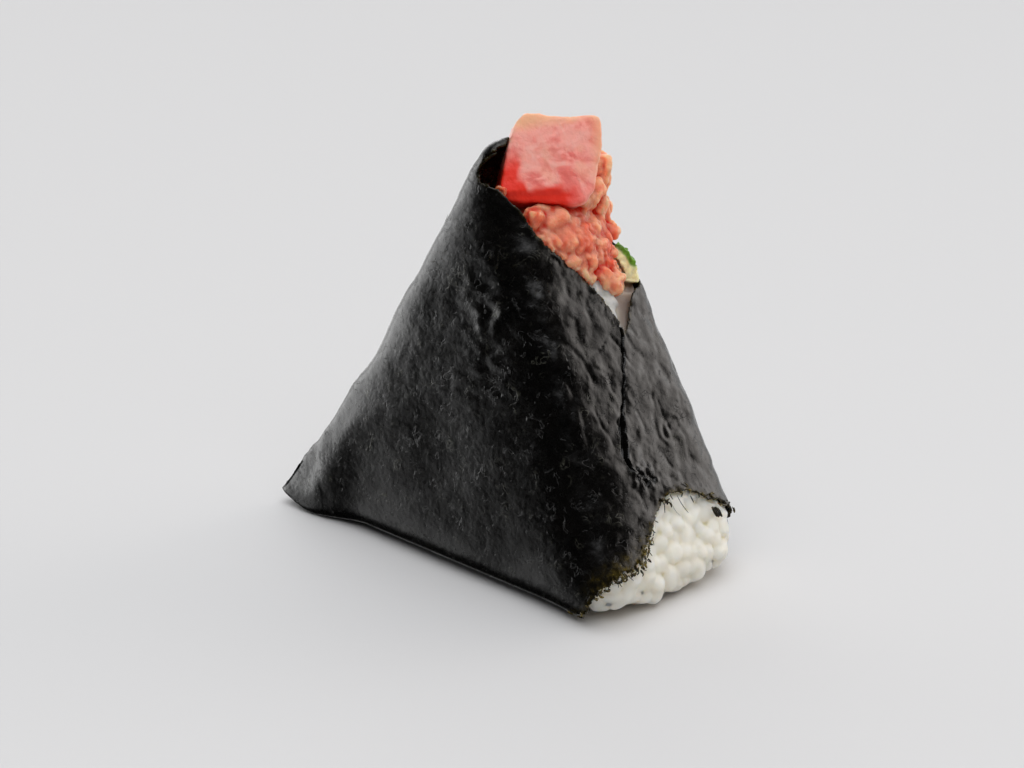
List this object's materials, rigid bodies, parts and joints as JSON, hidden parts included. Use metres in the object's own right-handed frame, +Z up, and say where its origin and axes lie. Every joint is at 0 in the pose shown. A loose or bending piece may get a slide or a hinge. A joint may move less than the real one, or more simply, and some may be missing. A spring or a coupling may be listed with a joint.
{
  "type": "onigiri rice ball",
  "caption": "Triangular rice ball standing on its base, wrapped in nori, with minced tuna and a block of raw tuna filling the open peak and bare rice at one foot corner.",
  "frame": {"origin": "on the floor, under the middle of the part's bounding box", "axes": "+X towards the slanted side with the seam and the open rice corner, -X towards the folded tip; -Y the broad front face, +Y the broad back face; +Z up"},
  "size_m": [0.0939, 0.046, 0.0899],
  "materials": {
    "rice": "moist cooked short-grain rice, warm off-white, slightly translucent",
    "nori": "toasted nori, near-black green with a soft sheen, fine fibres and pits",
    "minced_tuna": "minced raw tuna, peach to salmon pink, moist and translucent",
    "tuna_block": "raw tuna cut into a block, pink with peach edges, moist",
    "spring_onion": "sliced spring onion, green skin and pale yellow flesh"
  },
  "bodies": {
    "root": {"rice_ball": "rice", "nori_wrap": "nori", "minced_tuna": "minced_tuna", "tuna_block": "tuna_block", "spring_onion": "spring_onion"}
  },
  "joints": []
}
